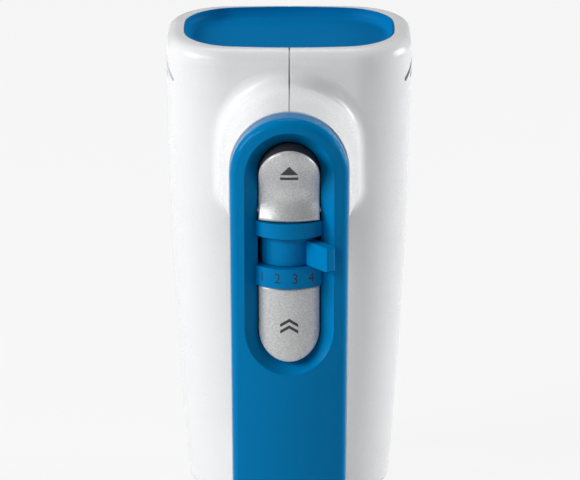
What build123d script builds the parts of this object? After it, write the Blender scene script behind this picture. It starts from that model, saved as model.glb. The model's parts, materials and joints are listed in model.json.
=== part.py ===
from build123d import *
from math import atan, cos, degrees, pi, sin, sqrt, tan
import os

# A hand mixer standing on its heel: X to the right, -Y to the handle's top, +Z to the nose.
# The origin lies on the standing plane, in the seam between the two housing halves.

# Driving dimensions, millimetres and degrees

# Heights along the handle, each counted from the one before, from the heel upwards
recess_bottom = 69.0
turbo_length = 28.9
scale_height = 7.3
drum_window = 11.3
upper_band_height = 5.5
eject_length = 29.2
recess_border = 5.0
nose_step = 15.8

# Body pod
nose_half_width = 46.3
heel_half_width = 38.4
widest_below_nose = 12.0
waist_height = 55.0
waist_front = -4.0
nose_rise = 18.0
belly_height = 75.0
belly_depth = 62.0
nose_tuck = 18.0
heel_tuck = 5.0
loft_margin = 14.0
body_stations = 8
front_bow = 2.6
side_bow = 1.8
body_corner = 24.0
wall = 2.5
heel_round = 7.0
seam_gap = 0.45
seam_depth = 1.0

# Nose end and its blue panel
nose_tilt = 5.0
nose_round = 5.0
panel_rim = 6.7
panel_corner = 20.0
panel_bow = 4.0
panel_height = 6.0
panel_dish = 4.0
panel_wall = 0.7
panel_floor_round = 3.0
panel_fit = 0.15

# Handle and legs
handle_half_width = 21.6
handle_taper = 1.0
handle_front = -62.0
handle_crown_radius = 90.0
cover_depth = 12.0
cover_edge_round = 3.0
cover_heel_round = 7.0
cover_wall = 2.4
grip_depth = 15.0
grip_round = 10.0
leg_lip = 0.4
leg_draft = 6.0
leg_length = 46.0
front_leg_corner = 9.0
leg_root_round = 5.0
rear_leg_top = 30.0
rear_leg_corner = 4.5

# Control recess in the handle cover
recess_half_width = 17.9
slot_half_width = 11.5
bevel_end = 4.5
bevel_depth = 6.0
band_radius = 14.3
band_proud = 1.6
band_seat = 3.5
button_gap = 0.4

# Speed drum and lever
drum_radius = 10.8
drum_gap = 0.3
lever_reach = 24.0
lever_thickness = 3.9
lever_height = 9.0
lever_lift = 0.5
lever_angle = 34.5
lever_round = 0.8
axle_radius = 1.5
axle_seat = 3.0
running_gap = 0.05

# Eject button and ejector
eject_depth = 7.0
eject_lip = 0.4
eject_scoop = 1.7
eject_raise = 4.0
eject_cap = 1.2
eject_cap_drop = 0.8
eject_crown = 20.0
eject_edge_round = 0.9
eject_travel = 12.0
eject_arm = 18.0
pivot_above_band = 3.6
pivot_setback = 0.5
pivot_radius = 1.25
pivot_seat = 1.2
rod_radius = 2.5
rod_setback = 1.0
rod_collar_radius = 5.0
rod_collar_thickness = 2.0
rod_collar_setback = 9.0
ejector_gap = 0.3
yoke_thickness = 4.0
yoke_width = 10.0
yoke_room = 5.0
ejector_pin_radius = 1.9
ejector_pin_gap = 2.0
guide_setback = 11.0
guide_thickness = 4.0

# Turbo button, switch block and springs
turbo_crown = 16.0
turbo_depth = 7.5
turbo_edge_round = 0.9
turbo_stem_radius = 1.8
turbo_stem_length = 5.0
switch_half_width = 11.0
switch_height = 24.0
switch_below_band = 1.0
switch_seat = 0.2
switch_boss_radius = 2.4
spring_pocket_radius = 4.2
spring_pocket_depth = 4.5
turbo_spring_radius = 3.2
turbo_spring_wire = 0.6
turbo_spring_turns = 4
eject_spring_radius = 3.8
eject_spring_wire = 0.8
eject_spring_turns = 5

# Gear train
motor_depth = 31.0
gear_module = 1.0
wheel_teeth = 32
worm_radius = 6.0
worm_depth = 1.0
worm_turns = 6
wheel_width = 6.0
tooth_tip = 0.45
tooth_foot = 1.45
tooth_rise = 0.75
tooth_drop = 1.15
hub_radius = 9.0
hub_length = 14.0
spindle_radius = 5.5
spindle_stand = 2.0
socket_radius = 3.55
socket_length = 18.0
socket_recess = 3.5
ejector_bore_radius = 2.4
bush_radius = 7.5
collar_radius = 9.0
collar_bore = 6.4
collar_stand = 2.5
collar_fit = 0.1

# Gear frame
bulkhead_thickness = 4.0
wheel_room = 5.0
tip_room = 1.25
frame_wall = 4.0
frame_half_width = 31.0
upper_bush_room = 5.0
lower_bush_room = 3.0
seat_gap = 0.25

# Motor
shaft_radius = 3.0
shaft_stand = 4.0
tip_radius = 2.5
tip_length = 8.5
tip_stand = 1.5
tip_bush_radius = 5.0
bearing_radius = 8.0
bearing_length = 7.0
rear_bracket_thickness = 4.0
rear_bracket_half_depth = 9.0
rear_bearing_radius = 7.0
rear_bearing_length = 6.0
stator_length = 32.0
stator_half_width = 30.0
stator_half_depth = 24.0
stator_corner = 6.0
armature_radius = 15.8
air_gap = 0.6
armature_slots = 12
slot_width = 2.4
slot_depth = 5.0
winding_overhang = 6.0
winding_radius = 13.5
coil_inner_half = 12.0
coil_thickness = 6.0
coil_near = 14.0
coil_depth = 7.0
coil_gap = 0.3
coil_overhang = 5.0
commutator_radius = 9.0
commutator_length = 11.0
commutator_room = 13.0
commutator_grooves = 12
groove_width = 0.6
groove_depth = 0.8
brush_width = 6.0
brush_height = 5.0
brush_length = 10.0
brush_gap = 0.15
holder_wall = 2.0
holder_gap = 1.5
holder_length = 12.0
holder_fit = 0.1
motor_gap = 3.0
fan_room = 6.0
fan_height = 9.0
fan_radius = 22.5
fan_disc = 1.4
fan_blades = 9
fan_blade = 1.4
fan_hub_radius = 7.0
motor_screw_x = 26.5
motor_screw_radius = 1.75
motor_screw_head = 3.2
motor_screw_head_height = 2.6
motor_screw_tip = 1.0

# Housing screws, vents and cord gland
boss_radius = 4.5
boss_room = 1.0
screw_radius = 1.5
screw_head_radius = 3.0
screw_head_height = 2.0
screw_seat = 7.0
screw_length = 17.0
screw_gap = 0.15
vent_rows = 5
vent_pitch = 6.0
vent_bottom = 24.0
vent_half_height = 1.3
vent_near = 7.0
vent_far = 25.0
side_vent_rows = 4
side_vent_pitch = 6.0
side_vent_drop = 10.5
side_vent_y = -0.2
side_vent_length = 12.0
side_vent_width = 2.2
side_vent_slant = 40.0
gland_setback = 8.0
gland_height = 10.2
gland_bore = 3.2
gland_neck = 4.3
gland_flange = 5.5
gland_lip = 1.5

# Sizes that follow from the ones above

# Heights
slot_bottom = recess_bottom + bevel_end
scale_bottom = slot_bottom + turbo_length
scale_top = scale_bottom + scale_height
upper_band_bottom = scale_top + drum_window
upper_band_top = upper_band_bottom + upper_band_height
slot_top = upper_band_top + eject_length
recess_top = slot_top + bevel_end
handle_top = recess_top + recess_border
front_leg_bottom = handle_top - leg_length
nose_edge_height = handle_top + nose_step
widest_height = nose_edge_height - widest_below_nose
loft_height = nose_edge_height + loft_margin
turbo_middle = (slot_bottom + scale_bottom) / 2
switch_top = scale_bottom - switch_below_band
pivot_height = upper_band_top + pivot_above_band
gear_height = pivot_height + eject_arm

# Worm and wheels
worm_pitch = pi * gear_module
worm_lead = atan(gear_module / 2 / worm_radius)
worm_length = worm_turns * worm_pitch
wheel_pitch_radius = gear_module * wheel_teeth / 2
wheel_tip = wheel_pitch_radius + tooth_rise
wheel_foot = wheel_pitch_radius - tooth_drop
spindle_x = worm_radius + wheel_pitch_radius

# Heights in the body, from the gears down to the rear bracket
frame_end = gear_height + wheel_tip + tip_room + frame_wall
bulkhead_top = gear_height - wheel_tip - wheel_room
bulkhead_bottom = bulkhead_top - bulkhead_thickness
motor_screw_end = bulkhead_top - motor_screw_tip
fan_bottom = bulkhead_bottom - fan_room - fan_height
stator_bottom = fan_bottom - motor_gap - winding_overhang - stator_length
commutator_bottom = stator_bottom - winding_overhang - motor_gap - commutator_length
brush_middle = commutator_bottom + commutator_length / 2
rear_bracket_top = commutator_bottom - commutator_room
rear_bracket_bottom = rear_bracket_top - rear_bracket_thickness
shaft_bottom = rear_bracket_bottom - shaft_stand
shaft_top = frame_end + tip_stand
tip_start = shaft_top - tip_length
side_vent_height = nose_edge_height - side_vent_drop

# Depths
cover_split = handle_front + cover_depth
handle_back = cover_split + grip_depth
control_axis_y = handle_front - band_proud + band_radius
band_back = control_axis_y + band_seat
eject_back = handle_front + eject_depth
pivot_y = eject_back + pivot_setback
rod_head = pivot_y + rod_setback
rod_collar_y = cover_split + rod_collar_setback
guide_y = handle_back + guide_setback
turbo_back = handle_front + turbo_depth
turbo_stem_end = turbo_back + turbo_stem_length
spring_pocket_end = cover_split + spring_pocket_depth
gland_y = handle_back + gland_setback
gland_flank = handle_taper - handle_half_width - leg_lip
motor_axis_y = belly_depth - motor_depth
frame_upper = motor_axis_y - hub_length / 2 - upper_bush_room - frame_wall
frame_lower = motor_axis_y + hub_length / 2 + lower_bush_room
collar_start = frame_lower + frame_wall
spindle_top = frame_upper - spindle_stand
yoke_y = spindle_top - yoke_room - yoke_thickness

# Larger than the whole mixer, for cuts that go right through
far = 400.0


# Body pod

def half_width_at(z):
    drop = max(0.0, widest_height - z) / widest_height
    return nose_half_width - (nose_half_width - heel_half_width) * drop**2


def front_at(z):
    rise = (z - waist_height) / (nose_edge_height - waist_height)
    return waist_front - nose_rise * rise**2


def under_at(z):
    if z > belly_height:
        return belly_depth - nose_tuck * ((z - belly_height) / (nose_edge_height - belly_height))**4
    return belly_depth - heel_tuck * ((belly_height - z) / belly_height)**2


collar_end = under_at(gear_height) + collar_stand
spindle_end = collar_end - socket_recess
ejector_pin_end = spindle_end - socket_length - ejector_pin_gap
nose_screw_height = bulkhead_top + boss_radius + boss_room
screw_places = (
    (motor_axis_y, rear_bracket_bottom / 2),
    (under_at(brush_middle) - wall - 2 * boss_radius, brush_middle),
    (under_at(nose_screw_height) - wall - boss_radius - boss_room, nose_screw_height),
)


def bowed_outline(half_width, front, back, corner, bow=front_bow):
    """A rounded rectangle in the XY plane whose four sides bow outwards."""
    side = half_width - side_bow
    near = front + bow
    deep = back - bow
    middle = (front + back) / 2
    outline = ThreePointArc((-side, near), (0, front), (side, near))
    outline += ThreePointArc((side, near), (half_width, middle), (side, deep))
    outline += ThreePointArc((side, deep), (0, back), (-side, deep))
    outline += ThreePointArc((-side, deep), (-half_width, middle), (-side, near))
    face = make_face(outline)
    return fillet(face.vertices(), corner)


def nose_place(depth=0.0):
    """The tilted plane of the nose end, moved down into the body by depth."""
    edge = (0, front_at(nose_edge_height), nose_edge_height)
    return Location(edge, (nose_tilt, 0, 0)) * Pos(0, 0, -depth)


def body_form(inset=0.0, nose_inset=0.0):
    sections = []
    for station in range(body_stations):
        z = loft_height * station / (body_stations - 1)
        outline = bowed_outline(half_width_at(z) - inset, front_at(z) + inset, under_at(z) - inset,
                                body_corner - inset)
        sections.append(Pos(0, 0, z) * outline)
    form = loft(sections)
    form -= nose_place(nose_inset) * Pos(0, 0, far / 2) * Box(far, far, far)
    form -= Pos(0, 0, inset - far / 2) * Box(far, far, far)
    return form


def rounded_body(inset=0.0):
    form = body_form(inset, inset)
    form = fillet(form.faces().sort_by(Axis.Z)[-1].edges(), nose_round - inset)
    return fillet(form.faces().sort_by(Axis.Z)[0].edges(), heel_round - inset)


# Handle and legs

def handle_plane(y):
    """Sketch plane facing the handle's top: sketch x is X, sketch y is Z, its normal is -Y."""
    return Plane(origin=(0, y, 0), x_dir=(1, 0, 0), z_dir=(0, -1, 0))


def arch_outline(half_width, low_half_width, bottom, top, corner):
    """An upright outline with a round arch above and rounded corners below."""
    spring = top - half_width
    outline = Line((-half_width, spring), (-low_half_width, bottom))
    outline += Line((-low_half_width, bottom), (low_half_width, bottom))
    outline += Line((low_half_width, bottom), (half_width, spring))
    outline += ThreePointArc((half_width, spring), (0, top), (-half_width, spring))
    face = make_face(outline)
    return fillet(face.vertices().group_by(Axis.Y)[0], corner)


def front_leg_form(inset=0.0):
    root = front_at(front_leg_bottom) + 2 * leg_root_round
    half_width = handle_half_width + leg_lip - inset
    wide_half_width = half_width + leg_draft
    top = handle_top + leg_lip - inset
    bottom = front_leg_bottom + inset
    corner = front_leg_corner - inset
    near = arch_outline(half_width, half_width, bottom, top, corner)
    wide = arch_outline(wide_half_width, wide_half_width, bottom - leg_draft / 2, top + leg_draft, corner)
    return loft([handle_plane(cover_split) * near, handle_plane(root) * wide], ruled=True)


def rear_leg_form(inset=0.0):
    root = front_at(0) + body_corner
    width = 2 * (-gland_flank - inset)
    outline = RectangleRounded(width, rear_leg_top - 2 * inset, rear_leg_corner - inset)
    return extrude(handle_plane(cover_split) * Pos(0, rear_leg_top / 2) * outline, amount=cover_split - root)


def handle_bar_form(inset=0.0):
    half_width = handle_half_width + leg_lip - inset
    back = handle_back - inset
    outline = arch_outline(half_width, half_width - handle_taper, inset, handle_top - inset,
                           cover_heel_round + leg_lip - inset)
    bar = extrude(handle_plane(cover_split) * outline, amount=cover_split - back)
    bar -= Pos(0, 0, handle_top - handle_half_width + far / 2) * Box(far, far, far)
    flanks = bar.faces().sort_by(Axis.X)
    back_edges = flanks[0].edges().sort_by(Axis.Y)[-1:] + flanks[-1].edges().sort_by(Axis.Y)[-1:]
    return fillet(back_edges, grip_round - inset)


def legs_form(inset):
    return front_leg_form(inset) + handle_bar_form(inset) + rear_leg_form(inset)


def outer_form():
    body = rounded_body()
    leg = front_leg_form()
    joined = body + leg
    joined = fillet(new_edges(body, leg, combined=joined), leg_root_round)
    return joined + handle_bar_form() + rear_leg_form()


def cavity_form():
    return body_form(wall, panel_height + wall) + legs_form(wall)


# Housing halves

def across(radius, length, y, z):
    """A cylinder along X, centred on the seam."""
    return Pos(0, y, z) * Rot(0, 90, 0) * Cylinder(radius, length)


def along_x(radius, start, end, y, z):
    return Pos((start + end) / 2, 0, 0) * across(radius, abs(end - start), y, z)


def along_y(radius, start, end, x, z):
    return Pos(x, (start + end) / 2, z) * Rot(90, 0, 0) * Cylinder(radius, end - start)


def along_z(radius, start, end, x=0.0, y=0.0):
    return Pos(x, y, (start + end) / 2) * Cylinder(radius, end - start)


def block(x_range, y_range, z_range):
    size = [high - low for low, high in (x_range, y_range, z_range)]
    centre = [(high + low) / 2 for low, high in (x_range, y_range, z_range)]
    return Pos(*centre) * Box(*size)


def panel_outline(inset=0.0):
    depth = under_at(nose_edge_height) - front_at(nose_edge_height)
    near = panel_rim + inset
    return bowed_outline(nose_half_width - near, near, depth - near, panel_corner - inset, panel_bow)


def seam_groove():
    """The shadow line round the housing where its two halves meet."""
    slab = block((-seam_gap / 2, seam_gap / 2), (-far, far), (heel_round, far))
    return slab - rounded_body(seam_depth) - legs_form(seam_depth)


def underside_vents():
    slots = Part()
    length = vent_far - vent_near
    for row in range(vent_rows):
        z = vent_bottom + row * vent_pitch
        for side in (-1, 1):
            place = Pos(side * (vent_near + vent_far) / 2, belly_depth, z) * Rot(90, 0, 0)
            slots += place * extrude(SlotOverall(length, 2 * vent_half_height), amount=3 * wall, both=True)
    return slots


def side_vents():
    slots = Part()
    for row in range(side_vent_rows):
        y = side_vent_y + row * side_vent_pitch
        outline = SlotOverall(side_vent_length, side_vent_width)
        slot = extrude(outline, amount=nose_half_width + wall, both=True)
        upright = Rot(0, 90, 0) * Rot(0, 0, 90) * slot
        slots += Pos(0, y, side_vent_height) * Rot(side_vent_slant, 0, 0) * upright
    inside = nose_half_width - 3 * wall
    return slots - block((-inside, inside), (-far, far), (0, far))


def screw_bosses(outer):
    bosses = Part()
    for y, z in screw_places:
        bosses += across(boss_radius, far, y, z) & outer
    return bosses


def screw_holes():
    holes = Part()
    for y, z in screw_places:
        holes += along_x(screw_radius, -nose_half_width, screw_length - screw_seat + screw_gap, y, z)
        holes += along_x(screw_head_radius + screw_gap, -far, -screw_seat, y, z)
    return holes


def rod_guide():
    reach = handle_half_width + wall
    height = yoke_width / 2 + wall
    rib = block((-reach, reach), (guide_y, guide_y + guide_thickness),
                (gear_height - height, gear_height + height))
    return rib - along_y(rod_radius + running_gap, -far, far, 0, gear_height)


def housing():
    outer = outer_form()
    shell = outer - cavity_form()
    shell += screw_bosses(outer)
    shell += rod_guide() & outer
    shell -= nose_place() * extrude(panel_outline(-panel_fit), amount=-panel_height)
    for x in (-spindle_x, spindle_x):
        shell -= along_y(collar_radius + collar_fit, collar_start, far, x, gear_height)
    shell -= underside_vents()
    shell -= side_vents()
    shell -= screw_holes()
    return shell - seam_groove()


def housing_left(shell):
    half = shell & block((-far, 0), (-far, far), (-far, far))
    return half - along_x(gland_neck, gland_flank - wall, gland_flank + 2 * wall, gland_y, gland_height)


def housing_right(shell):
    return shell & block((0, far), (-far, far), (-far, far))


def housing_screws():
    screws = Part()
    for y, z in screw_places:
        screws += along_x(screw_radius, -screw_seat, screw_length - screw_seat, y, z)
        screws += along_x(screw_head_radius, -screw_seat - screw_head_height, -screw_seat, y, z)
    return screws


def cord_gland():
    inside = gland_flank + wall
    gland = along_x(gland_flange, gland_flank - gland_lip, gland_flank, gland_y, gland_height)
    gland += along_x(gland_neck, gland_flank, inside, gland_y, gland_height)
    gland += along_x(gland_flange, inside, inside + gland_lip, gland_y, gland_height)
    return gland - across(gland_bore, far, gland_y, gland_height)


def nose_panel():
    tray = extrude(panel_outline(), amount=-panel_height)
    dish = extrude(panel_outline(panel_wall), amount=-panel_dish)
    floor_edges = dish.faces().sort_by(Axis.Z)[0].edges()
    dish = fillet(floor_edges, panel_floor_round)
    return nose_place() * (tray - dish)


# Handle cover and controls

def stadium(half_width, bottom, top):
    return Pos(0, (bottom + top) / 2) * SlotOverall(top - bottom, 2 * half_width, rotation=90)


def slot_prism(inset=0.0):
    outline = stadium(slot_half_width - inset, slot_bottom + inset, slot_top - inset)
    return extrude(handle_plane(control_axis_y) * outline, amount=far / 4, both=True)


def control_recess():
    """The slot for the buttons and its bevel, which runs on past the cover's crest by its own depth."""
    bevel_side = recess_half_width - slot_half_width
    wide = stadium(recess_half_width + bevel_side, recess_bottom - bevel_end, recess_top + bevel_end)
    narrow = stadium(slot_half_width, slot_bottom, slot_top)
    front = handle_plane(handle_front - bevel_depth)
    back = handle_plane(handle_front + bevel_depth)
    return loft([front * wide, back * narrow], ruled=True) + slot_prism()


def band(bottom, top):
    ring = along_z(band_radius, bottom, top, 0, control_axis_y)
    return ring & block((-far, far), (-far, band_back), (0, far))


def cover_outline(inset=0.0):
    half_width = handle_half_width - inset
    return arch_outline(half_width, half_width - handle_taper, inset, handle_top - inset,
                        cover_heel_round - inset)


def handle_cover():
    seat = handle_plane(cover_split)
    cover = extrude(seat * cover_outline(), amount=cover_depth)
    cover &= along_z(handle_crown_radius, -far, far, 0, handle_front + handle_crown_radius)
    cover = fillet(cover.faces().sort_by(Axis.Y)[0].edges(), cover_edge_round)
    cover -= extrude(seat * (cover_outline(-seam_depth) - cover_outline(seam_depth)), amount=seam_gap)
    cover -= control_recess()
    inside = handle_half_width - handle_taper - cover_wall
    ceiling = handle_front + handle_crown_radius - sqrt(handle_crown_radius**2 - inside**2) + cover_wall
    cover -= block((-inside, inside), (ceiling, cover_split),
                   (cover_heel_round, recess_bottom - cover_wall))
    cover += band(scale_bottom, scale_top) + band(upper_band_bottom, upper_band_top)
    cover -= along_z(axle_radius + running_gap, scale_bottom - drum_gap, upper_band_bottom + axle_seat,
                     0, control_axis_y)
    return cover - eject_pivot_pin()


def speed_drum():
    """The drum with its lever, one face of which is in line with the drum's axis."""
    drum = along_z(drum_radius, scale_top + drum_gap, upper_band_bottom - drum_gap)
    low = scale_top + lever_lift
    lever = block((0, lever_thickness), (-lever_reach, -drum_radius / 2), (low, low + lever_height))
    lever = fillet(lever.faces().sort_by(Axis.Y)[0].edges(), lever_round)
    drum += Rot(0, 0, lever_angle) * lever
    drum -= along_z(axle_radius, 0, far)
    return Pos(0, control_axis_y, 0) * drum


def drum_axle():
    return along_z(axle_radius, switch_top - 2 * axle_seat, upper_band_bottom + axle_seat - drum_gap,
                   0, control_axis_y)


def crowned_section(z, crest, half_width, back, crown):
    """Cross-section of a button: flat behind, a shallow arc in front."""
    edge = crest + crown - sqrt(crown**2 - half_width**2)
    outline = ThreePointArc((-half_width, edge), (0, crest), (half_width, edge))
    outline += Line((half_width, edge), (half_width, back))
    outline += Line((half_width, back), (-half_width, back))
    outline += Line((-half_width, back), (-half_width, edge))
    return Pos(0, 0, z) * make_face(outline)


def about_pivot(shape, angle):
    """Turn a shape about the eject button's pivot; a positive angle presses the button in."""
    pivot = Pos(0, pivot_y, pivot_height)
    return pivot * Rot(-angle, 0, 0) * pivot.inverse() * shape


def eject_form(sunk):
    """The eject button's swept form, with its face sunk by the given depth; the slot's outline trims it."""
    bottom = upper_band_top + button_gap
    span = slot_top - bottom
    lip = handle_front - eject_lip + sunk
    scoop = handle_front + eject_scoop + sunk
    high = handle_front - eject_raise + sunk
    crests = (lip, scoop, scoop, (scoop + high) / 2, high, high)
    sections = []
    for station, crest in enumerate(crests):
        z = bottom + span * station / (len(crests) - 1)
        sections.append(crowned_section(z, crest, slot_half_width, eject_back, eject_crown))
    return loft(sections)


def eject_button():
    """The silver cap, which stops short of the carrier's upper end."""
    cap = eject_form(0.0) & Pos(0, 0, -eject_cap_drop) * slot_prism(button_gap)
    cap = fillet(cap.faces().sort_by(Axis.Y)[0].edges(), eject_edge_round)
    return cap - eject_form(eject_cap)


def eject_carrier():
    """The rocker under the cap, with its pivot lug and the foot that pushes the ejector."""
    prism = slot_prism(button_gap)
    carrier = eject_form(eject_cap) & prism
    carrier &= about_pivot(prism, -eject_travel)
    half_width = slot_half_width - button_gap
    lug = pivot_radius + button_gap
    carrier += block((-half_width, half_width), (eject_back, pivot_y + lug),
                     (pivot_height - lug, pivot_height + lug))
    carrier += Pos(0, rod_head - ejector_gap - rod_radius, gear_height) * Sphere(rod_radius)
    return carrier - across(pivot_radius + running_gap, far, pivot_y, pivot_height)


def eject_pivot_pin():
    return across(pivot_radius, 2 * (slot_half_width + pivot_seat), pivot_y, pivot_height)


def ejector_yoke():
    yoke = along_y(rod_radius, rod_head, yoke_y, 0, gear_height)
    yoke += along_y(rod_collar_radius, rod_collar_y - rod_collar_thickness, rod_collar_y, 0, gear_height)
    reach = spindle_x + ejector_pin_radius + wall
    yoke += block((-reach, reach), (yoke_y, yoke_y + yoke_thickness),
                  (gear_height - yoke_width / 2, gear_height + yoke_width / 2))
    for x in (-spindle_x, spindle_x):
        yoke += along_y(ejector_pin_radius, yoke_y, ejector_pin_end, x, gear_height)
    return yoke


def turbo_button():
    crest = handle_front + button_gap
    button = along_z(turbo_crown, slot_bottom, scale_bottom - button_gap, 0, crest + turbo_crown)
    button &= slot_prism(button_gap)
    button &= block((-far, far), (-far, turbo_back), (0, far))
    button = fillet(button.faces().sort_by(Axis.Y)[0].edges(), turbo_edge_round)
    return button + along_y(turbo_stem_radius, turbo_back, turbo_stem_end, 0, turbo_middle)


def switch_block():
    front = cover_split + switch_seat
    seat = switch_top - 2 * axle_seat - running_gap
    body = block((-switch_half_width, switch_half_width), (front, handle_back - wall - switch_seat),
                 (switch_top - switch_height, switch_top))
    body -= along_y(spring_pocket_radius, front, spring_pocket_end, 0, turbo_middle)
    body += along_z(switch_boss_radius, seat - wall, switch_top, 0, control_axis_y)
    return body - along_z(axle_radius + running_gap, seat, switch_top, 0, control_axis_y)


def coil_spring(radius, wire, turns, start, end, z):
    """A helical spring along Y between two faces."""
    height = end - start - wire
    path = Helix(pitch=height / turns, height=height, radius=radius)
    section = Plane(path @ 0, z_dir=path % 0) * Circle(wire / 2)
    spring = sweep(section, path=path, is_frenet=True)
    return Pos(0, start + wire / 2, z) * Rot(-90, 0, 0) * spring


def turbo_spring():
    return coil_spring(turbo_spring_radius, turbo_spring_wire, turbo_spring_turns,
                       turbo_back, spring_pocket_end, turbo_middle)


def eject_spring():
    return coil_spring(eject_spring_radius, eject_spring_wire, eject_spring_turns,
                       rod_collar_y, guide_y, gear_height)


# Gear train

def motor_shaft():
    shaft = along_z(shaft_radius, shaft_bottom, tip_start)
    shaft += along_z(tip_radius, tip_start, shaft_top)
    start = gear_height - worm_length / 2
    crest = Pos(worm_depth, 0, start) * Circle(worm_radius)
    thread = Solid.extrude_linear_with_rotation(crest.face(), (0, 0, start), (0, 0, worm_length),
                                                360 * worm_turns)
    shaft += thread
    return Pos(0, motor_axis_y, 0) * shaft


def tooth_points(number):
    """Foot and tip corners of one tooth, going round the wheel."""
    middle = 2 * pi * number / wheel_teeth
    foot = (wheel_foot, tooth_foot / 2 / wheel_foot)
    tip = (wheel_tip, tooth_tip / 2 / wheel_tip)
    points = []
    for side, (radius, half_angle) in ((-1, foot), (-1, tip), (1, tip), (1, foot)):
        angle = middle + side * half_angle
        points.append((radius * cos(angle), radius * sin(angle)))
    return points


def toothed_face():
    points = []
    for number in range(wheel_teeth):
        points += tooth_points(number)
    return make_face(Polyline(*points, close=True))


def worm_wheel(side):
    """The right wheel for side 1, the left for side -1; its teeth lean with the worm's thread."""
    lean = degrees(wheel_width * tan(worm_lead) / wheel_pitch_radius)
    face = toothed_face()
    low = Pos(0, 0, -wheel_width / 2) * Rot(0, 0, -lean / 2) * face
    high = Pos(0, 0, wheel_width / 2) * Rot(0, 0, lean / 2) * face
    wheel = loft([low, high], ruled=True)
    wheel += Cylinder(hub_radius, hub_length)
    wheel -= Cylinder(spindle_radius, far)
    phase = 180 / wheel_teeth if side > 0 else 0
    turned = Rot(-90, 0, 0) * Rot(0, 0, phase) * wheel
    return Pos(side * spindle_x, motor_axis_y, gear_height) * turned


def spindle(x):
    tube = along_y(spindle_radius, spindle_top, spindle_end, x, gear_height)
    tube -= along_y(ejector_bore_radius, 0, far, x, gear_height)
    return tube - along_y(socket_radius, spindle_end - socket_length, far, x, gear_height)


def ring_y(outer, inner, start, end, x):
    return along_y(outer, start, end, x, gear_height) - along_y(inner, -far, far, x, gear_height)


def upper_bush(x):
    return ring_y(bush_radius, spindle_radius + running_gap, frame_upper, frame_upper + frame_wall, x)


def lower_bush(x):
    return ring_y(bush_radius, spindle_radius + running_gap, frame_lower, collar_start, x)


def socket_collar(x):
    return ring_y(collar_radius, collar_bore, collar_start, collar_end, x)


def seated_slab(bottom, thickness):
    """A slice of the body's inside, with a small gap to the wall all round."""
    slab = block((-far, far), (-far, far), (bottom, bottom + thickness))
    return body_form(wall + seat_gap, panel_height + wall) & slab


def gear_frame():
    frame = seated_slab(bulkhead_bottom, bulkhead_thickness)
    width = (-frame_half_width, frame_half_width)
    frame += block(width, (frame_upper, frame_upper + frame_wall), (bulkhead_top, frame_end))
    frame += block(width, (frame_lower, collar_start), (bulkhead_top, frame_end))
    frame += block(width, (frame_upper, collar_start), (frame_end - frame_wall, frame_end))
    for x in (-spindle_x, spindle_x):
        frame -= along_y(bush_radius, 0, far, x, gear_height)
    frame -= along_z(bearing_radius, 0, gear_height, 0, motor_axis_y)
    frame -= along_z(tip_bush_radius, gear_height, far, 0, motor_axis_y)
    for x in (-motor_screw_x, motor_screw_x):
        frame -= along_z(motor_screw_radius, 0, motor_screw_end, x, motor_axis_y)
    for y, z in screw_places:
        frame -= across(boss_radius + seat_gap, far, y, z)
    return frame


def ring_z(outer, inner, start, end):
    return along_z(outer, start, end, 0, motor_axis_y) - along_z(inner, 0, far, 0, motor_axis_y)


def bearing(outer, length, plate_bottom, plate_thickness):
    """A plain bearing for the motor shaft, seated in the middle of a plate."""
    middle = plate_bottom + plate_thickness / 2
    return ring_z(outer, shaft_radius + running_gap, middle - length / 2, middle + length / 2)


def front_bearing():
    return bearing(bearing_radius, bearing_length, bulkhead_bottom, bulkhead_thickness)


def rear_bearing():
    return bearing(rear_bearing_radius, rear_bearing_length, rear_bracket_bottom, rear_bracket_thickness)


def tip_bearing():
    return ring_z(tip_bush_radius, tip_radius + running_gap, frame_end - frame_wall, frame_end)


# Motor

def rear_bracket():
    bar = seated_slab(rear_bracket_bottom, rear_bracket_thickness)
    near = motor_axis_y - rear_bracket_half_depth
    bar &= block((-far, far), (near, near + 2 * rear_bracket_half_depth), (0, far))
    bar -= along_z(rear_bearing_radius, 0, far, 0, motor_axis_y)
    for x in (-motor_screw_x, motor_screw_x):
        bar -= along_z(motor_screw_radius, 0, far, x, motor_axis_y)
    return bar


def motor_screws():
    screws = Part()
    head_bottom = rear_bracket_bottom - motor_screw_head_height
    for x in (-motor_screw_x, motor_screw_x):
        screws += along_z(motor_screw_radius, rear_bracket_bottom, motor_screw_end, x, motor_axis_y)
        screws += along_z(motor_screw_head, head_bottom, rear_bracket_bottom, x, motor_axis_y)
    return screws


def stator_core():
    sheet = RectangleRounded(2 * stator_half_width, 2 * stator_half_depth, stator_corner)
    sheet -= Circle(armature_radius + air_gap)
    window = Rectangle(coil_thickness + 2 * coil_gap, coil_depth + 2 * coil_gap)
    for side in (-1, 1):
        x = side * (coil_inner_half + coil_thickness / 2)
        for y in (-coil_near - coil_depth / 2, coil_near + coil_depth / 2):
            sheet -= Pos(x, y) * window
        sheet -= Pos(side * motor_screw_x, 0) * Circle(motor_screw_radius)
    return Pos(0, motor_axis_y, stator_bottom) * extrude(sheet, amount=stator_length)


def field_coil(side):
    """A flat ring of wire round one pole, drawn as its outer form."""
    middle = stator_bottom + stator_length / 2
    inner_height = stator_length + 2 * coil_gap
    outer_height = inner_height + 2 * coil_overhang
    ring = RectangleRounded(2 * (coil_inner_half + coil_thickness), outer_height, coil_overhang)
    ring -= Rectangle(2 * coil_inner_half, inner_height)
    near = motor_axis_y + side * (coil_near + coil_depth / 2)
    return extrude(handle_plane(near) * Pos(0, middle) * ring, amount=coil_depth / 2, both=True)


def slots_round(inner, outer, width, count, length):
    """Upright bars set round an axis between two radii, as one body."""
    bars = Part()
    for number in range(count):
        bar = Pos((inner + outer) / 2, 0, 0) * Box(outer - inner, width, length)
        bars += Rot(0, 0, 360 * number / count) * bar
    return bars


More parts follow.
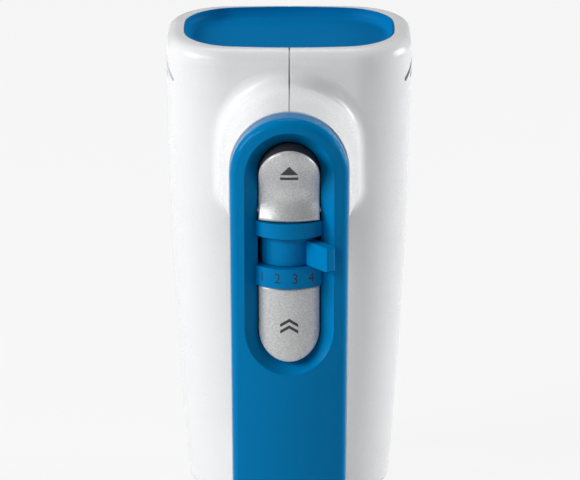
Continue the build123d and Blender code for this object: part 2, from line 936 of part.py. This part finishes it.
def on_motor_axis(shape, bottom, length):
    """Move a shape centred on the origin to its place on the motor's axis."""
    return Pos(0, motor_axis_y, bottom + length / 2) * (shape - Cylinder(shaft_radius, far))


def armature_core():
    core = Cylinder(armature_radius, stator_length)
    bottom = armature_radius - slot_depth
    core -= slots_round(bottom, far, slot_width, armature_slots, stator_length)
    return on_motor_axis(core, stator_bottom, stator_length)


def armature_winding():
    bottom = armature_radius - slot_depth
    winding = slots_round(bottom, winding_radius, slot_width, armature_slots, stator_length)
    for side in (-1, 1):
        end = Cylinder(winding_radius, winding_overhang)
        end = fillet(end.faces().sort_by(Axis.Z)[-1 if side > 0 else 0].edges(), winding_overhang / 2)
        winding += Pos(0, 0, side * (stator_length + winding_overhang) / 2) * end
    return on_motor_axis(winding, stator_bottom, stator_length)


def commutator():
    drum = Cylinder(commutator_radius, commutator_length)
    bottom = commutator_radius - groove_depth
    drum -= slots_round(bottom, far, groove_width, commutator_grooves, commutator_length)
    return on_motor_axis(drum, commutator_bottom, commutator_length)


def fan():
    wheel = along_z(fan_radius, 0, fan_disc) + along_z(fan_hub_radius, 0, fan_height)
    for number in range(fan_blades):
        blade = block((fan_hub_radius / 2, fan_radius), (-fan_blade / 2, fan_blade / 2), (0, fan_height))
        wheel += Rot(0, 0, 360 * number / fan_blades) * blade
    wheel &= along_z(fan_radius, 0, fan_height)
    return on_motor_axis(Pos(0, 0, -fan_height / 2) * wheel, fan_bottom, fan_height)


def at_brush(side, shape):
    """Place a shape drawn along +X at the commutator's right, or turned round to its left."""
    return Pos(0, motor_axis_y, brush_middle) * Rot(0, 0, 0 if side > 0 else 180) * shape


def brush(side):
    start = commutator_radius + brush_gap
    body = block((start, start + brush_length), (-brush_width / 2, brush_width / 2),
                 (-brush_height / 2, brush_height / 2))
    return at_brush(side, body)


def brush_holder(side):
    start = commutator_radius + holder_gap
    half_width = brush_width / 2 + holder_fit
    half_height = brush_height / 2 + holder_fit
    outside = half_width + holder_wall
    post = block((start, start + holder_length), (-outside, outside),
                 (rear_bracket_top - brush_middle, half_height + holder_wall))
    post -= block((0, far), (-half_width, half_width), (-half_height, half_height))
    return at_brush(side, post)


shell = housing()
nodes = {
    "housing_left": housing_left(shell),
    "housing_right": housing_right(shell),
    "housing_screws": housing_screws(),
    "cord_gland": cord_gland(),
    "nose_panel": nose_panel(),
    "handle_cover": handle_cover(),
    "speed_drum": speed_drum(),
    "drum_axle": drum_axle(),
    "eject_button": eject_button(),
    "eject_carrier": eject_carrier(),
    "eject_pivot_pin": eject_pivot_pin(),
    "ejector_yoke": ejector_yoke(),
    "eject_spring": eject_spring(),
    "turbo_button": turbo_button(),
    "turbo_spring": turbo_spring(),
    "switch_block": switch_block(),
    "gear_frame": gear_frame(),
    "front_bearing": front_bearing(),
    "tip_bearing": tip_bearing(),
    "rear_bearing": rear_bearing(),
    "rear_bracket": rear_bracket(),
    "motor_screws": motor_screws(),
    "motor_shaft": motor_shaft(),
    "stator_core": stator_core(),
    "field_coil_upper": field_coil(-1),
    "field_coil_lower": field_coil(1),
    "armature_core": armature_core(),
    "armature_winding": armature_winding(),
    "commutator": commutator(),
    "fan": fan(),
}
for name, side in (("left", -1), ("right", 1)):
    nodes[f"{name}_worm_wheel"] = worm_wheel(side)
    nodes[f"{name}_spindle"] = spindle(side * spindle_x)
    nodes[f"{name}_upper_bush"] = upper_bush(side * spindle_x)
    nodes[f"{name}_lower_bush"] = lower_bush(side * spindle_x)
    nodes[f"{name}_socket_collar"] = socket_collar(side * spindle_x)
    nodes[f"{name}_brush"] = brush(side)
    nodes[f"{name}_brush_holder"] = brush_holder(side)

os.makedirs("parts", exist_ok=True)
for name, solid in nodes.items():
    export_step(solid, f"parts/{name}.step")
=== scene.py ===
# %% [markdown]
# # A hand mixer, stood on its heel
#
# The mixer's solids come from its CAD model, already in place and in metres: X is right, -Y comes
# out of the handle's top, and +Z is up to the nose. This file gives each solid its finish, puts copies
# in place of the two springs, adds the printed marks, and sets the light and the camera.

# %% Load the solids
import json
from math import cos, pi, radians, sin

import bmesh
import bpy
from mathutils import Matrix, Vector
from mathutils.bvhtree import BVHTree


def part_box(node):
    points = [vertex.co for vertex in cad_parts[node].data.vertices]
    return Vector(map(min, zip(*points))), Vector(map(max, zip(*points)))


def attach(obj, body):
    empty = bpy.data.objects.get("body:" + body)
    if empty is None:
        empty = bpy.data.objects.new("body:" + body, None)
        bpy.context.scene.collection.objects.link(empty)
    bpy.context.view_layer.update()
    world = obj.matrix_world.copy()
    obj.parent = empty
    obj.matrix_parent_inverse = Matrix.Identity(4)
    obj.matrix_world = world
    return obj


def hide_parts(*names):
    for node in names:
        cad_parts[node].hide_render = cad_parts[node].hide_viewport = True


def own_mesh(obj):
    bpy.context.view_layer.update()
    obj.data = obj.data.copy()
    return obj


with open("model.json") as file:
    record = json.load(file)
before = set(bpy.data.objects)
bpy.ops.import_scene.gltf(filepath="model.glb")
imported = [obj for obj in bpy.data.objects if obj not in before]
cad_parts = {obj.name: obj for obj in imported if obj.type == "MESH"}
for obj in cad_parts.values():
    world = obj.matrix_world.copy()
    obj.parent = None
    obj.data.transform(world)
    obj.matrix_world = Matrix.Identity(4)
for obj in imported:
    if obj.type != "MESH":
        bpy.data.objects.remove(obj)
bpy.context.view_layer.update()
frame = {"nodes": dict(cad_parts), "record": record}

print("solids loaded:", len(frame["nodes"]))

# %% [markdown]
# ## Sums in a shader
#
# A finish is a sum: a colour, plus a little noise, times a mask. In the node editor each sign of that
# sum is a node with two links. A small class around a socket lets Python's own signs add those nodes,
# so a finish reads like the sum that it is. Every other node comes from one method.

# %% A socket that can be used in sums
class Wire:
    """A socket of a shader tree. Sums of wires and numbers add Math nodes."""

    def __init__(self, tree, socket=None):
        self.tree = tree
        self.socket = socket

    def node(self, kind, settings=None, inputs=None, output=0):
        """Add a node: its settings first, then the values or wires of its sockets."""
        made = self.tree.nodes.new(kind)
        for name, value in (settings or {}).items():
            setattr(made, name, value)
        for socket, value in (inputs or {}).items():
            if isinstance(value, Wire):
                self.tree.links.new(value.socket, made.inputs[socket])
            else:
                made.inputs[socket].default_value = value
        return Wire(self.tree, made.outputs[output])

    def sum(self, operation, first, second):
        return self.node("ShaderNodeMath", {"operation": operation}, {0: first, 1: second})

    def __add__(self, other):
        return self.sum("ADD", self, other)

    def __mul__(self, other):
        return self.sum("MULTIPLY", self, other)

    __radd__ = __add__
    __rmul__ = __mul__

# %% [markdown]
# ## The parts of a finish
#
# Moulded and machined surfaces differ in a few things only: how the colour clouds, how the gloss
# varies, and what the fingertip would feel. Each helper here makes one of them. Noise is read in
# metres on the solid itself, so it keeps its size and stays on the piece when the piece moves.

# %% Helpers for finishes
SOCKET_NAMES = {
    "base_color": "Base Color",
    "metallic": "Metallic",
    "roughness": "Roughness",
    "normal": "Normal",
    "specular_ior_level": "Specular IOR Level",
}


class Finish:
    """A new material with its wires, and the solids that wear it."""

    def __init__(self, name, gloss=1.45):
        self.material = bpy.data.materials.new(name)
        self.material.use_nodes = True
        self.tree = self.material.node_tree
        self.shader = self.tree.nodes["Principled BSDF"]
        self.shader.inputs["IOR"].default_value = gloss
        self.wire = Wire(self.tree)
        self.place = self.wire.node("ShaderNodeTexCoord", output="Object")

    def noise(self, size, detail=2.0):
        """Noise from 0 to 1 with lumps of about this size in metres."""
        inputs = {"Vector": self.place, "Scale": 1 / size, "Detail": detail}
        return self.wire.node("ShaderNodeTexNoise", {"noise_dimensions": "3D"}, inputs)

    def along(self, axis):
        """The place along X, Y or Z, in metres."""
        return self.wire.node("ShaderNodeSeparateXYZ", inputs={0: self.place}, output=axis)

    def between(self, factor, first, second):
        """A colour that goes from first to second as the factor goes from 0 to 1."""
        inputs = {0: factor, 6: (*first, 1), 7: (*second, 1)}
        return self.wire.node("ShaderNodeMix", {"data_type": "RGBA"}, inputs, output=2)

    def bump(self, height, depth):
        """A normal from a height of 0 to 1 that stands for this depth in metres."""
        inputs = {"Height": height, "Distance": depth, "Strength": 1.0}
        return self.wire.node("ShaderNodeBump", inputs=inputs)

    def feed(self, **sockets):
        """Link or set the shader's sockets."""
        for name, value in sockets.items():
            socket = self.shader.inputs[SOCKET_NAMES[name]]
            if isinstance(value, Wire):
                self.tree.links.new(value.socket, socket)
            else:
                socket.default_value = value

    def wear(self, *nodes):
        """Put this finish on CAD solids."""
        for node in nodes:
            slots = frame["nodes"][node].data.materials
            slots.clear()
            slots.append(self.material)
        print(self.material.name, "on", len(nodes), "solids")

# %% [markdown]
# ## White and blue shells
#
# The two housing halves are white ABS. The handle's cover and the drum are blue and come from polished
# moulds too; the blue panel in the nose is satin. Such a skin isn't perfect: the gloss is a little
# cloudy, and reflections wobble where the plastic shrank over its ribs. Flat colour with one roughness
# would look like paint on glass, so a slow noise clouds colour and gloss, a finer one bends the
# reflections, and a very fine one is the mould's own grain.

# %% Gloss plastics
CLOUD_SIZE = 0.03
SHRINK_SIZE = 0.009
MOULD_GRAIN = 0.0004
SKIN_DEPTH = 0.00002


def moulded_gloss(name, colour, cloud, polish, shine):
    """A polished moulded skin; polish is the lowest roughness, and shine how much it mirrors."""
    finish = Finish(name)
    slow = finish.noise(CLOUD_SIZE)
    shrink = finish.noise(SHRINK_SIZE, 1.0)
    grain = finish.noise(MOULD_GRAIN)
    skin = shrink * 0.95 + grain * 0.05
    finish.feed(
        base_color=finish.between(slow, colour, cloud),
        roughness=slow * 0.08 + grain * 0.06 + polish,
        normal=finish.bump(skin, SKIN_DEPTH),
        specular_ior_level=shine,
    )
    return finish


white_shell = moulded_gloss("white_shell", (0.86, 0.865, 0.875), (0.83, 0.835, 0.845), 0.2, 0.4)
white_shell.wear("housing_left", "housing_right")
blue_cover = moulded_gloss("blue_cover", (0.0, 0.205, 0.49), (0.0, 0.19, 0.46), 0.08, 0.05)
blue_cover.wear("handle_cover", "speed_drum")
blue_panel = moulded_gloss("blue_panel", (0.0, 0.19, 0.47), (0.0, 0.18, 0.45), 0.4, 0.03)
blue_panel.wear("nose_panel")

# %% [markdown]
# ## Silver buttons
#
# The buttons are plastic under a silver lacquer. The lacquer is full of aluminium flakes that lie at
# slightly different angles, so it sparkles in grains of about a third of a millimetre. Cells of noise
# give each flake its own brightness and a small tilt.

# %% Flake lacquer
FLAKE_SIZE = 0.00033
FLAKE_DEPTH = 0.00003
LACQUER_CLOUD = 0.012


def flake_lacquer():
    finish = Finish("silver_lacquer")
    cells = {"Vector": finish.place, "Scale": 1 / FLAKE_SIZE}
    flake = finish.wire.node("ShaderNodeTexVoronoi", {"feature": "F1"}, cells, output="Color")
    bright = finish.wire.node("ShaderNodeSeparateColor", inputs={0: flake})
    slow = finish.noise(LACQUER_CLOUD)
    finish.feed(
        base_color=finish.between(bright, (0.5, 0.505, 0.51), (0.69, 0.69, 0.69)),
        metallic=bright * 0.2 + 0.25,
        roughness=slow * 0.1 + 0.32,
        normal=finish.bump(bright, FLAKE_DEPTH),
    )
    return finish


silver_lacquer = flake_lacquer()
silver_lacquer.wear("eject_button", "turbo_button")

# %% [markdown]
# ## Plastics inside
#
# The rocker under the upper button, the switch, the brush holders and the socket collars are black
# plastic from spark-eroded moulds, so they are satin with a fine even grain. The worm wheels, the fan
# and the ejector are natural nylon, which is cream, waxy and slightly see-through at thin edges. The
# gland is soft rubber.

# %% Satin plastics, nylon and rubber
SATIN_CLOUD = 0.02


def satin(name, colour, cloud, grain_size, dull, depth):
    """A grained moulded skin; dull is the lowest roughness, and depth that of the grain."""
    finish = Finish(name)
    grain = finish.noise(grain_size)
    slow = finish.noise(SATIN_CLOUD)
    finish.feed(
        base_color=finish.between(slow, colour, cloud),
        roughness=grain * 0.15 + dull,
        normal=finish.bump(grain, depth),
    )
    return finish


dark_plastic = satin("dark_plastic", (0.03, 0.03, 0.033), (0.045, 0.045, 0.05), 0.0006, 0.42, 0.00005)
dark_plastic.wear("eject_carrier", "switch_block", "rear_bracket", "left_brush_holder",
                  "right_brush_holder", "left_socket_collar", "right_socket_collar")
natural_nylon = satin("natural_nylon", (0.8, 0.77, 0.68), (0.72, 0.69, 0.6), 0.0015, 0.34, 0.00004)
natural_nylon.wear("left_worm_wheel", "right_worm_wheel", "fan", "ejector_yoke")
gland_rubber = satin("gland_rubber", (0.02, 0.02, 0.02), (0.035, 0.035, 0.036), 0.0005, 0.6, 0.00006)
gland_rubber.wear("cord_gland")
carbon = satin("carbon", (0.025, 0.025, 0.027), (0.06, 0.06, 0.062), 0.0003, 0.55, 0.00006)
carbon.wear("left_brush", "right_brush")

# %% [markdown]
# ## Metals inside
#
# Turned steel shows the tool's rings along its axis. The motor's cores are stacks of half-millimetre
# sheets, so they are striped along the shaft. Sintered bronze is open-pored, and the cast frame is
# grey with a rough skin. One function makes them all: stripes of a given pitch along an axis, and
# noise for what isn't regular.

# %% Metals
def metal(name, colour, shade, axis, pitch, rough, depth, pore=0.0008):
    """Bare metal with stripes of this pitch along X, Y or Z, and pores of about this size."""
    finish = Finish(name)
    pores = finish.noise(pore)
    turns = finish.along(axis) * (1 / pitch) + pores * 0.3
    ridge = finish.wire.sum("PINGPONG", turns, 0.5) * 2
    finish.feed(
        base_color=finish.between(ridge * 0.5 + pores * 0.5, shade, colour),
        metallic=1.0,
        roughness=pores * 0.2 + rough,
        normal=finish.bump(ridge * 0.6 + pores * 0.4, depth),
    )
    return finish


def turned_steel(name, axis):
    return metal(name, (0.6, 0.6, 0.61), (0.5, 0.5, 0.51), axis, 0.0003, 0.2, 0.00001)


steel_across = turned_steel("steel_turned_across", "X")
steel_across.wear("housing_screws", "eject_pivot_pin")
steel_up = turned_steel("steel_turned_up", "Z")
steel_up.wear("drum_axle", "motor_screws", "motor_shaft")
steel_deep = turned_steel("steel_turned_deep", "Y")
steel_deep.wear("left_spindle", "right_spindle", "eject_spring", "turbo_spring")
core_sheets = metal("core_sheets", (0.3, 0.3, 0.31), (0.14, 0.14, 0.15), "Z", 0.0005, 0.35, 0.00008)
core_sheets.wear("stator_core", "armature_core")
sintered_bronze = metal("sintered_bronze", (0.6, 0.4, 0.19), (0.42, 0.27, 0.12), "Y", 0.004, 0.4,
                        0.00004, 0.0003)
sintered_bronze.wear("front_bearing", "tip_bearing", "rear_bearing", "left_upper_bush", "right_upper_bush",
                     "left_lower_bush", "right_lower_bush")
cast_frame = metal("cast_frame", (0.6, 0.6, 0.61), (0.48, 0.48, 0.49), "Z", 0.02, 0.45, 0.0001, 0.0005)
cast_frame.wear("gear_frame")

# %% [markdown]
# ## Copper
#
# The windings are enamelled wire of about half a millimetre, wound in layers. The CAD solids are the
# outer form of the bundle, so the single wires come from the finish: rounded ridges across the bundle,
# with painted shade that darkens the colour towards the line between neighbours. The field coils lie in
# layers along Y; the armature's wires run along its slots and pile up at the ends, so there the ridges go
# round the axis.

# %% Wire bundles and the commutator
WIRE_PITCH = 0.0006
ENAMEL_GLOSS = 1.5


def wire_bundle(name, axis):
    finish = Finish(name, ENAMEL_GLOSS)
    slip = finish.noise(0.006)
    turns = finish.along(axis) * (1 / WIRE_PITCH) + slip * 1.5
    ridge = finish.wire.sum("PINGPONG", turns, 0.5) * 2
    finish.feed(
        # The dark end of this colour is painted shade in the creases between neighbouring wires.
        base_color=finish.between(ridge, (0.22, 0.07, 0.03), (0.72, 0.31, 0.15)),
        metallic=0.85,
        roughness=slip * 0.15 + 0.25,
        normal=finish.bump(ridge, 0.0002),
    )
    return finish


field_wire = wire_bundle("field_wire", "Y")
field_wire.wear("field_coil_upper", "field_coil_lower")
armature_wire = wire_bundle("armature_wire", "Z")
armature_wire.wear("armature_winding")
bar_copper = metal("bar_copper", (0.75, 0.38, 0.22), (0.5, 0.22, 0.11), "Z", 0.0004, 0.25, 0.00002)
bar_copper.wear("commutator")

# %% [markdown]
# ## Spring copies
#
# Two coil springs push the buttons back out. A solid keeps its length, so a button that goes in would cut
# through its spring. A copy of each coil takes the solid's place and is hung on the housing, and the share
# of its length that the slide's full travel would leave is worked out.

# %% Springs
joints = {joint["name"]: joint for joint in frame["record"]["behaviour"]["joints"]}


def shortening_spring(node, slide):
    """A copy of a spring along Y, hung on the housing; works out what share of its length the slide
    leaves.
    """
    low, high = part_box(node)
    keep = 1 - joints[slide]["range_m"][1] / (high[1] - low[1])
    solid = frame["nodes"][node]
    spring = bpy.data.objects.new(node + "_coil", solid.data.copy())
    spring.matrix_world = solid.matrix_world
    bpy.context.collection.objects.link(spring)
    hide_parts(node)
    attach(spring, "housing")
    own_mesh(spring)
    print(node, "shortens to", round(keep, 3))


shortening_spring("eject_spring", "ejector_slide")
shortening_spring("turbo_spring", "turbo_press")

# %% [markdown]
# ## Marks laid on a surface
#
# The digits of the speed scale and the signs on the buttons are a thin layer of ink. A picture on the
# surface could show them, but ink has an edge, and a thin solid keeps it sharp at any distance. Each
# mark is drawn flat, cut finely, and laid on the solid along rays, so that it follows the curve of what
# carries it. It sinks in a little and stands a few hundredths of a millimetre proud.

# %% Lay a flat drawing on a solid
INK_PROUD = 0.00004
INK_DEPTH = 0.00014
MARK_CUTS = 3


def surface_of(node):
    return BVHTree.FromObject(frame["nodes"][node], bpy.context.evaluated_depsgraph_get())


def laid_mark(name, flat, surface, ray):
    """A thin layer from a flat mesh; ray turns a flat point into a start and a direction."""
    drawing = bmesh.new()
    drawing.from_mesh(flat)
    bmesh.ops.triangulate(drawing, faces=drawing.faces[:])
    bmesh.ops.subdivide_edges(drawing, edges=drawing.edges[:], cuts=MARK_CUTS, use_grid_fill=True)
    for vertex in drawing.verts:
        start, way = ray(vertex.co)
        hit = surface.ray_cast(start, way)[0]
        vertex.co = hit - way * INK_PROUD
    mesh = bpy.data.meshes.new(name)
    drawing.to_mesh(mesh)
    drawing.free()
    mark = bpy.data.objects.new(name, mesh)
    bpy.context.collection.objects.link(mark)
    layer = mark.modifiers.new("layer", "SOLIDIFY")
    layer.thickness = INK_DEPTH
    layer.offset = -1
    return mark

# %% [markdown]
# ## Ink
#
# Pad-printed ink is matt, and thinner where the pad lifted first, so that the colour under it comes
# through: the scale's dark ink looks blue, and the signs on the buttons are grey.

# %% Inks
def printed_ink(name, thick, thin):
    finish = Finish(name)
    lift = finish.noise(0.0007)
    finish.feed(
        base_color=finish.between(lift, thick, thin),
        roughness=lift * 0.2 + 0.5,
    )
    return finish


scale_ink = printed_ink("scale_ink", (0.004, 0.018, 0.035), (0.006, 0.035, 0.07))
sign_ink = printed_ink("sign_ink", (0.03, 0.03, 0.032), (0.08, 0.08, 0.084))

# %% [markdown]
# ## The speed scale
#
# Four plain digits stand on the lower band of the recess, spread round it so that the lever points at
# one of them at a time. Text objects give the digits' outlines; they are wrapped round the band's axis,
# because ink that is pressed on from the front alone would be stretched at the sides.

# %% Digits on the scale
DIGITS = "4321"
DIGIT_HEIGHT = 0.0038
DIGIT_SHARE_OF_FONT = 0.72
LEVER_REST = 34.5
RAY_START = 1.1


def flat_digit(text):
    curve = bpy.data.curves.new("flat_digit_" + text, "FONT")
    curve.body = text
    curve.size = DIGIT_HEIGHT / DIGIT_SHARE_OF_FONT
    curve.align_x = "CENTER"
    curve.align_y = "CENTER"
    holder = bpy.data.objects.new(curve.name, curve)
    mesh = bpy.data.meshes.new_from_object(holder)
    bpy.data.objects.remove(holder)
    return mesh


def ray_to_axis(axis, angle, middle, radius):
    """Rays from all round towards an upright axis; a flat X is an arc on that radius."""
    def ray(point):
        turn = radians(angle) + point.x / radius
        out = Vector((sin(turn), -cos(turn), 0))
        start = Vector((axis[0], axis[1], middle + point.y)) + out * RAY_START * radius
        return start, -out
    return ray


selector = joints["speed_select"]
band_middle = (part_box("speed_drum")[0][2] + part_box("turbo_button")[1][2]) / 2
band_radius = selector["pos_m"][1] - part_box("handle_cover")[0][1]
cover = surface_of("handle_cover")
step = (selector["range_deg"][1] - selector["range_deg"][0]) / (len(DIGITS) - 1)
for place, text in enumerate(DIGITS):
    angle = LEVER_REST - place * step
    ray = ray_to_axis(selector["pos_m"], angle, band_middle, band_radius)
    digit = laid_mark("scale_digit_" + text, flat_digit(text), cover, ray)
    digit.data.materials.append(scale_ink.material)
    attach(digit, "housing")
print("digits round a band of radius", round(band_radius, 4))

# %% [markdown]
# ## Signs on the buttons
#
# The upper button lets the beaters go and the lower one gives full speed. Plain signs say so without
# words: a triangle over a bar, and two chevrons. Both are flat polygons, laid on from the front.

# %% Signs
SIGN_WIDTH = 0.0066
EJECT_SIGN_DROP = 0.009
CHEVRON_RISE = 0.62
CHEVRON_STROKE = 0.38


def flat_polygons(*polygons):
    """A flat mesh from polygons, drawn in units of half the sign's width."""
    drawing = bmesh.new()
    for polygon in polygons:
        corners = [drawing.verts.new((x * SIGN_WIDTH / 2, y * SIGN_WIDTH / 2, 0)) for x, y in polygon]
        drawing.faces.new(corners)
    mesh = bpy.data.meshes.new("flat_sign")
    drawing.to_mesh(mesh)
    drawing.free()
    return mesh


def chevron(low):
    """Two strokes that meet at the top."""
    inside = low + CHEVRON_RISE
    tip = inside + CHEVRON_STROKE
    end = low + CHEVRON_STROKE
    left = ((-1, low), (0, inside), (0, tip), (-1, end))
    right = ((0, inside), (1, low), (1, end), (0, tip))
    return left, right


def ray_from_front(middle):
    """Rays along +Y from a metre in front; a flat Y is a height about the middle."""
    def ray(point):
        return Vector((point.x, -1, middle + point.y)), Vector((0, 1, 0))
    return ray


triangle = ((-1, -0.1), (1, -0.1), (0, 1))
bar = ((-1, -0.75), (1, -0.75), (1, -0.42), (-1, -0.42))
eject_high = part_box("eject_button")[1]
turbo_low, turbo_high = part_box("turbo_button")
eject_flat = flat_polygons(triangle, bar)
turbo_flat = flat_polygons(*chevron(-0.95), *chevron(-0.2))
signs = (
    ("eject_sign", "eject_button", eject_flat, eject_high[2] - EJECT_SIGN_DROP),
    ("turbo_sign", "turbo_button", turbo_flat, (turbo_low[2] + turbo_high[2]) / 2),
)
for name, button, flat, height in signs:
    sign = laid_mark(name, flat, surface_of(button), ray_from_front(height))
    sign.data.materials.append(sign_ink.material)
    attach(sign, button + "_body")
    print(name, "at", round(height, 4))

# %% [markdown]
# ## The floor
#
# The mixer stands on a white sheet that fills the view. A white floor in plain light is never quite
# white in a picture, so rays from the camera, and those that come by way of a gloss, see mostly even
# white. The rest of it is the floor's own diffuse light, which keeps the shadow at the heel.

# %% White sheet
SHEET_HALF = 3.0
SHADOW_SHARE = 0.14
FIBRE_SIZE = 0.0025
PAPER_DARK = (0.6, 0.6, 0.6, 1)
PAPER_PALE = (0.64, 0.64, 0.64, 1)


def white_sheet():
    material = bpy.data.materials.new("white_sheet")
    material.use_nodes = True
    tree = material.node_tree
    wire = Wire(tree)
    paper = tree.nodes["Principled BSDF"]
    paper.inputs["Roughness"].default_value = 0.9
    place = wire.node("ShaderNodeTexCoord", output="Object")
    fibre = wire.node("ShaderNodeTexNoise", inputs={"Vector": place, "Scale": 1 / FIBRE_SIZE})
    shades = {0: fibre, 6: PAPER_DARK, 7: PAPER_PALE}
    tint = wire.node("ShaderNodeMix", {"data_type": "RGBA"}, shades, output=2)
    tree.links.new(tint.socket, paper.inputs["Base Color"])
    seen = wire.node("ShaderNodeLightPath", output="Is Camera Ray")
    for kind in ("Is Glossy Ray", "Is Transmission Ray"):
        seen = wire.sum("MAXIMUM", seen, wire.node("ShaderNodeLightPath", output=kind))
    white = wire.node("ShaderNodeEmission", inputs={"Color": (1, 1, 1, 1), "Strength": 1.0})
    shares = {0: seen * (1 - SHADOW_SHARE), 1: Wire(tree, paper.outputs[0]), 2: white}
    mixed = wire.node("ShaderNodeMixShader", inputs=shares)
    tree.links.new(mixed.socket, tree.nodes["Material Output"].inputs["Surface"])
    return material


corners = [(x * SHEET_HALF, y * SHEET_HALF, 0) for x, y in ((-1, -1), (1, -1), (1, 1), (-1, 1))]
sheet_mesh = bpy.data.meshes.new("white_sheet")
sheet_mesh.from_pydata(corners, [], [(0, 1, 2, 3)])
sheet = bpy.data.objects.new("white_sheet", sheet_mesh)
bpy.context.collection.objects.link(sheet)
sheet_mesh.materials.append(white_sheet())
print("sheet of", 2 * SHEET_HALF, "m")

# %% [markdown]
# ## Light
#
# The object is lit as on a small product table. A big soft lamp on the left makes the broad light, a
# smaller one beside it draws the streaks on the gloss, and a weak small one on the right draws the thin
# ones on the far edges. Two more big lamps, on the right and above, do the work of white boards: one
# wraps round the right flank and one fills the dish in the nose. A lamp's power is worked out from the
# share of full brightness that is wanted at the mixer.

# %% Lamps
AIM = Vector((0, 0, 0.1))
LAMP_REACH = 2.0
TENT_LIGHT = 0.11


def soft_lamp(name, azimuth, elevation, size, share):
    """A square lamp aimed at the mixer; azimuth 0 is in front of it and 90 on its right.

    A share of 1 would light a white card that faces the lamp to white.
    """
    turn = radians(azimuth)
    rise = radians(elevation)
    out = Vector((sin(turn) * cos(rise), -cos(turn) * cos(rise), sin(rise)))
    data = bpy.data.lights.new(name, "AREA")
    data.size = size
    data.energy = share * (pi * LAMP_REACH) ** 2
    lamp = bpy.data.objects.new(name, data)
    lamp.location = AIM + out * LAMP_REACH
    lamp.rotation_euler = out.to_track_quat("Z", "Y").to_euler()
    bpy.context.collection.objects.link(lamp)
    print(name, round(data.energy, 1), "W")


soft_lamp("key_lamp", -70, 22, 0.8, 0.73)
soft_lamp("streak_lamp", -44, 28, 0.3, 0.16)
soft_lamp("edge_lamp", 56, 12, 0.25, 0.07)
soft_lamp("right_board", 103, 12, 0.9, 0.74)
soft_lamp("top_board", 190, 70, 0.9, 0.22)
world = bpy.data.worlds.new("tent")
bpy.context.scene.world = world
world.use_nodes = True
world.node_tree.nodes["Background"].inputs["Color"].default_value = (1, 1, 1, 1)
world.node_tree.nodes["Background"].inputs["Strength"].default_value = TENT_LIGHT
bpy.context.scene.view_settings.view_transform = "Standard"

# %% [markdown]
# ## Camera
#
# The picture was taken from far off with a long lens, looking down about 15 degrees. The place and the
# focal length come from fitting the known solids' corners to where they stand in a frame of 580 by 480.

# %% Camera
FOCAL_PIXELS = 3568.5
FRAME_WIDTH = 580
CAMERA_PLACE = (0.0003, -1.3081, 0.4651)
LOOK_DOWN = 15.458

lens = bpy.data.cameras.new("camera")
lens.sensor_fit = "HORIZONTAL"
lens.sensor_width = 36.0
lens.lens = FOCAL_PIXELS / FRAME_WIDTH * lens.sensor_width
lens.clip_end = 20.0
camera = bpy.data.objects.new("camera", lens)
camera.location = CAMERA_PLACE
camera.rotation_euler = (radians(90 - LOOK_DOWN), 0, 0)
bpy.context.collection.objects.link(camera)
bpy.context.scene.camera = camera
print("lens of", round(lens.lens, 1), "mm")
